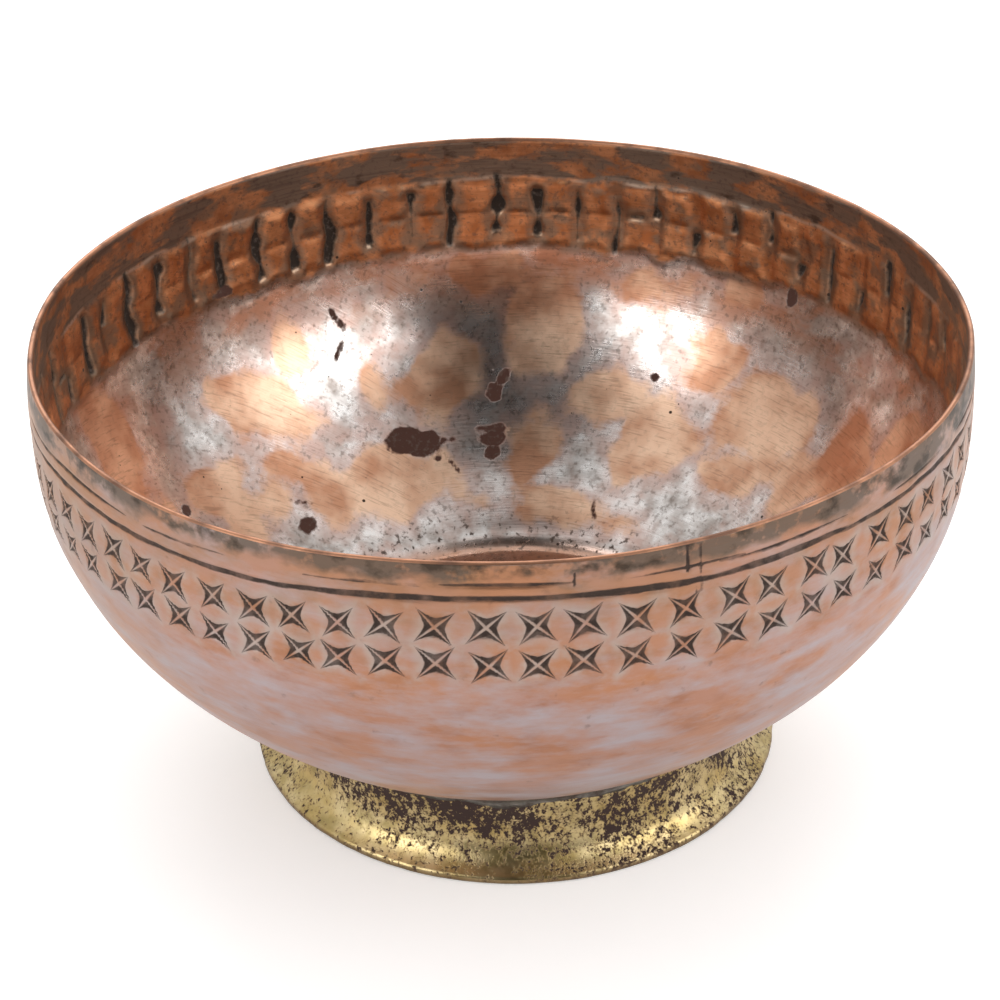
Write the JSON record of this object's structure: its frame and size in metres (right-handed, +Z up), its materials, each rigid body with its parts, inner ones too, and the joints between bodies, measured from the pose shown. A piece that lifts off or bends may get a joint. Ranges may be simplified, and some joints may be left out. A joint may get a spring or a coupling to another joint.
{
  "type": "footed bowl",
  "caption": "Round hammered copper bowl, tinned, with punched stars and turned lines below a plain rim, soldered to a flared brass foot ring.",
  "frame": {"origin": "on the surface the bowl stands on, under the shell's axis", "axes": "+Z up along the shell's axis; the foot ring stands slightly off that axis towards +X"},
  "size_m": [0.2025, 0.2024, 0.1079],
  "materials": {
    "tinned_copper": "raised sheet copper, tinned and worn, satin",
    "brass": "old polished brass, pitted and stained",
    "solder": "soft solder, dull grey"
  },
  "bodies": {
    "root": {"bowl_shell": "tinned_copper", "foot_ring": "brass", "outer_solder_fillet": "solder", "inner_solder_fillet": "solder"}
  },
  "joints": []
}
